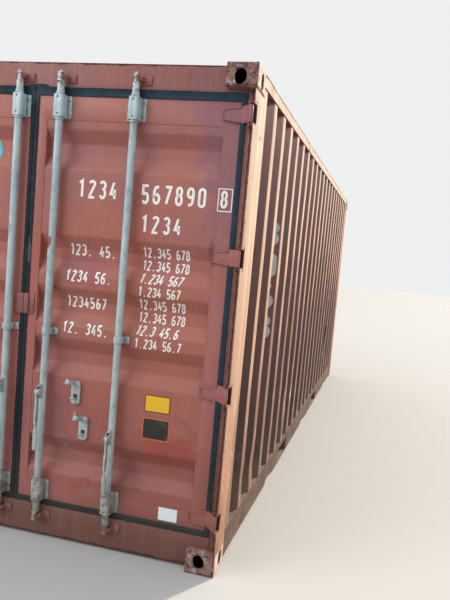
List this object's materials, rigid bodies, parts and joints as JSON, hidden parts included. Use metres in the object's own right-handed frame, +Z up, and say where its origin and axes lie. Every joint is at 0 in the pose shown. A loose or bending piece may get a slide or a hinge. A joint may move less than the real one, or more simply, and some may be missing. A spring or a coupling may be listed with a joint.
{
  "type": "shipping container",
  "caption": "Freight container of corrugated steel with two hinged end doors, lock rods, hanging handles, corner castings and fork pockets.",
  "frame": {"origin": "centre of the four bottom twistlock slots, at the level of the feet", "axes": "+X along the length towards the doors, +Y across to the wall beside the right door, +Z up"},
  "size_m": [6.099, 2.438, 2.591],
  "materials": {
    "casting_steel": "painted, heavily rusted",
    "frame_paint": "weathered satin paint",
    "underframe_paint": "dark coating, dusty",
    "wall_paint": "weathered satin paint",
    "floor_plywood": "worn plywood",
    "door_paint": "weathered satin paint",
    "seal_rubber": "matt, dusty",
    "gear_paint": "pale grey paint over zinc, rust at edges"
  },
  "bodies": {
    "container": {"top_corner_castings": "casting_steel", "bottom_corner_castings": "casting_steel", "door_post_right": "frame_paint", "door_post_left": "frame_paint", "front_posts": "frame_paint", "door_header": "frame_paint", "door_sill": "frame_paint", "cam_keepers": "frame_paint", "hinge_lugs": "frame_paint", "front_top_rail": "frame_paint", "front_bottom_rail": "frame_paint", "top_side_rails": "frame_paint", "bottom_side_rails": "frame_paint", "fork_pockets": "underframe_paint", "cross_members": "underframe_paint", "side_wall_left": "wall_paint", "side_wall_right": "wall_paint", "front_wall": "wall_paint", "roof_panel": "wall_paint", "roof_corner_plates": "wall_paint", "floor_boards": "floor_plywood"},
    "right_door": {"right_door_frame": "door_paint", "right_door_panel": "door_paint", "right_door_seal": "seal_rubber", "right_hinge_blades": "door_paint", "right_rod_brackets": "gear_paint", "right_handle_retainers": "gear_paint"},
    "left_door": {"left_door_frame": "door_paint", "left_door_panel": "door_paint", "left_door_seal": "seal_rubber", "left_hinge_blades": "door_paint", "left_rod_brackets": "gear_paint", "left_handle_retainers": "gear_paint"},
    "left_outer_rod": {"left_outer_rod": "gear_paint"},
    "left_outer_handle": {"left_outer_handle": "gear_paint"},
    "left_outer_catch": {"left_outer_catch": "gear_paint"},
    "left_inner_rod": {"left_inner_rod": "gear_paint"},
    "left_inner_handle": {"left_inner_handle": "gear_paint"},
    "left_inner_catch": {"left_inner_catch": "gear_paint"},
    "right_inner_rod": {"right_inner_rod": "gear_paint"},
    "right_inner_handle": {"right_inner_handle": "gear_paint"},
    "right_inner_catch": {"right_inner_catch": "gear_paint"},
    "right_outer_rod": {"right_outer_rod": "gear_paint"},
    "right_outer_handle": {"right_outer_handle": "gear_paint"},
    "right_outer_catch": {"right_outer_catch": "gear_paint"}
  },
  "joints": [
    {"name": "right_door_hinge", "type": "hinge", "parent": "container", "child": "right_door", "pos_m": [3.009, 1.195, 1.3], "axis": [0, 0, 1], "range_deg": [0, 260]},
    {"name": "left_door_hinge", "type": "hinge", "parent": "container", "child": "left_door", "pos_m": [3.009, -1.195, 1.3], "axis": [0, 0, -1], "range_deg": [0, 260]},
    {"name": "left_outer_rod_turn", "type": "hinge", "parent": "left_door", "child": "left_outer_rod", "pos_m": [3.003, -0.5, 1.3], "axis": [0, 0, 1], "range_deg": [-45, 90]},
    {"name": "left_outer_handle_lift", "type": "hinge", "parent": "left_outer_rod", "child": "left_outer_handle", "pos_m": [3.055, -0.5, 0.647], "axis": [0, -1, 0], "range_deg": [0, 90]},
    {"name": "left_outer_catch_swing", "type": "hinge", "parent": "left_door", "child": "left_outer_catch", "pos_m": [2.982, -0.304, 0.704], "axis": [1, 0, 0], "range_deg": [0, 90]},
    {"name": "left_inner_rod_turn", "type": "hinge", "parent": "left_door", "child": "left_inner_rod", "pos_m": [3.003, -0.078, 1.3], "axis": [0, 0, -1], "range_deg": [-45, 90]},
    {"name": "left_inner_handle_lift", "type": "hinge", "parent": "left_inner_rod", "child": "left_inner_handle", "pos_m": [3.055, -0.078, 0.838], "axis": [0, -1, 0], "range_deg": [0, 90]},
    {"name": "left_inner_catch_swing", "type": "hinge", "parent": "left_door", "child": "left_inner_catch", "pos_m": [2.982, -0.246, 0.895], "axis": [1, 0, 0], "range_deg": [0, 90]},
    {"name": "right_inner_rod_turn", "type": "hinge", "parent": "right_door", "child": "right_inner_rod", "pos_m": [3.003, 0.164, 1.3], "axis": [0, 0, 1], "range_deg": [-45, 90]},
    {"name": "right_inner_handle_lift", "type": "hinge", "parent": "right_inner_rod", "child": "right_inner_handle", "pos_m": [3.055, 0.164, 0.838], "axis": [0, -1, 0], "range_deg": [0, 90]},
    {"name": "right_inner_catch_swing", "type": "hinge", "parent": "right_door", "child": "right_inner_catch", "pos_m": [2.982, 0.36, 0.895], "axis": [1, 0, 0], "range_deg": [0, 90]},
    {"name": "right_outer_rod_turn", "type": "hinge", "parent": "right_door", "child": "right_outer_rod", "pos_m": [3.003, 0.586, 1.3], "axis": [0, 0, -1], "range_deg": [-45, 90]},
    {"name": "right_outer_handle_lift", "type": "hinge", "parent": "right_outer_rod", "child": "right_outer_handle", "pos_m": [3.055, 0.586, 0.647], "axis": [0, -1, 0], "range_deg": [0, 90]},
    {"name": "right_outer_catch_swing", "type": "hinge", "parent": "right_door", "child": "right_outer_catch", "pos_m": [2.982, 0.418, 0.704], "axis": [1, 0, 0], "range_deg": [0, 90]}
  ]
}
